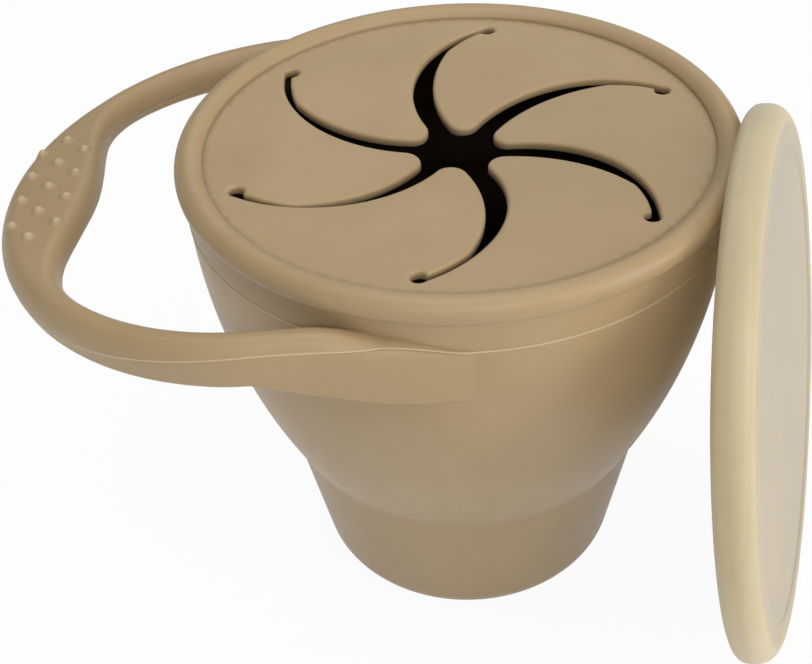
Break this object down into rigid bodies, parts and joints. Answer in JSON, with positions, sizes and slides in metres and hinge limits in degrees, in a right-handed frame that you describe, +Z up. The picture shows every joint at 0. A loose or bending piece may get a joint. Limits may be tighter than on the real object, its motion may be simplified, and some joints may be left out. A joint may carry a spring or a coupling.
{
  "type": "toddler snack container",
  "caption": "Collapsible silicone snack cup with a loop handle, a lid of flexible spill-proof petals and a translucent dust cover leaning beside it.",
  "frame": {"origin": "centre of the flat foot, on the surface that the cup stands on", "axes": "+Z up along the cup's axis, the loop handle points along -X, the dust cover leans against the rim on the +X side"},
  "size_m": [0.1533, 0.1144, 0.0981],
  "materials": {
    "silicone": "matt moulded silicone, khaki tan",
    "frosted": "frosted translucent moulded plastic"
  },
  "bodies": {
    "base": {"cup_base": "silicone"},
    "collar": {"cup_fold": "silicone", "cup_collar": "silicone", "handle": "silicone"},
    "lid": {"snack_lid": "silicone"},
    "flap_1": {"petal_1": "silicone"},
    "flap_2": {"petal_2": "silicone"},
    "flap_3": {"petal_3": "silicone"},
    "flap_4": {"petal_4": "silicone"},
    "flap_5": {"petal_5": "silicone"},
    "flap_6": {"petal_6": "silicone"},
    "cover": {"dust_cover": "frosted"}
  },
  "joints": [
    {"name": "collapse", "type": "slide", "parent": "base", "child": "collar", "axis": [0, 0, -1], "range_m": [0, 0.04], "deforming": ["cup_fold"]},
    {"name": "lid_lift", "type": "slide", "parent": "collar", "child": "lid", "axis": [0, 0, 1], "range_m": [0, 0.06]},
    {"name": "cover_lift", "type": "slide", "parent": "base", "child": "cover", "axis": [0, 0, 1], "range_m": [0, 0.1]},
    {"name": "flap_1_bend", "type": "hinge", "parent": "lid", "child": "flap_1", "pos_m": [0.02103, 0.02687, 0.09025], "axis": [-0.7876, 0.6162, 0], "range_deg": [-70, 40], "stiffness_Nm_per_rad": 0.01},
    {"name": "flap_2_bend", "type": "hinge", "parent": "lid", "child": "flap_2", "pos_m": [-0.01276, 0.03165, 0.09025], "axis": [-0.9274, -0.374, 0], "range_deg": [-70, 40], "stiffness_Nm_per_rad": 0.01},
    {"name": "flap_3_bend", "type": "hinge", "parent": "lid", "child": "flap_3", "pos_m": [-0.03379, 0.00477, 0.09025], "axis": [-0.1399, -0.9902, 0], "range_deg": [-70, 40], "stiffness_Nm_per_rad": 0.01},
    {"name": "flap_4_bend", "type": "hinge", "parent": "lid", "child": "flap_4", "pos_m": [-0.02103, -0.02687, 0.09025], "axis": [0.7876, -0.6162, 0], "range_deg": [-70, 40], "stiffness_Nm_per_rad": 0.01},
    {"name": "flap_5_bend", "type": "hinge", "parent": "lid", "child": "flap_5", "pos_m": [0.01276, -0.03165, 0.09025], "axis": [0.9274, 0.374, 0], "range_deg": [-70, 40], "stiffness_Nm_per_rad": 0.01},
    {"name": "flap_6_bend", "type": "hinge", "parent": "lid", "child": "flap_6", "pos_m": [0.03379, -0.00477, 0.09025], "axis": [0.1399, 0.9902, 0], "range_deg": [-70, 40], "stiffness_Nm_per_rad": 0.01}
  ]
}
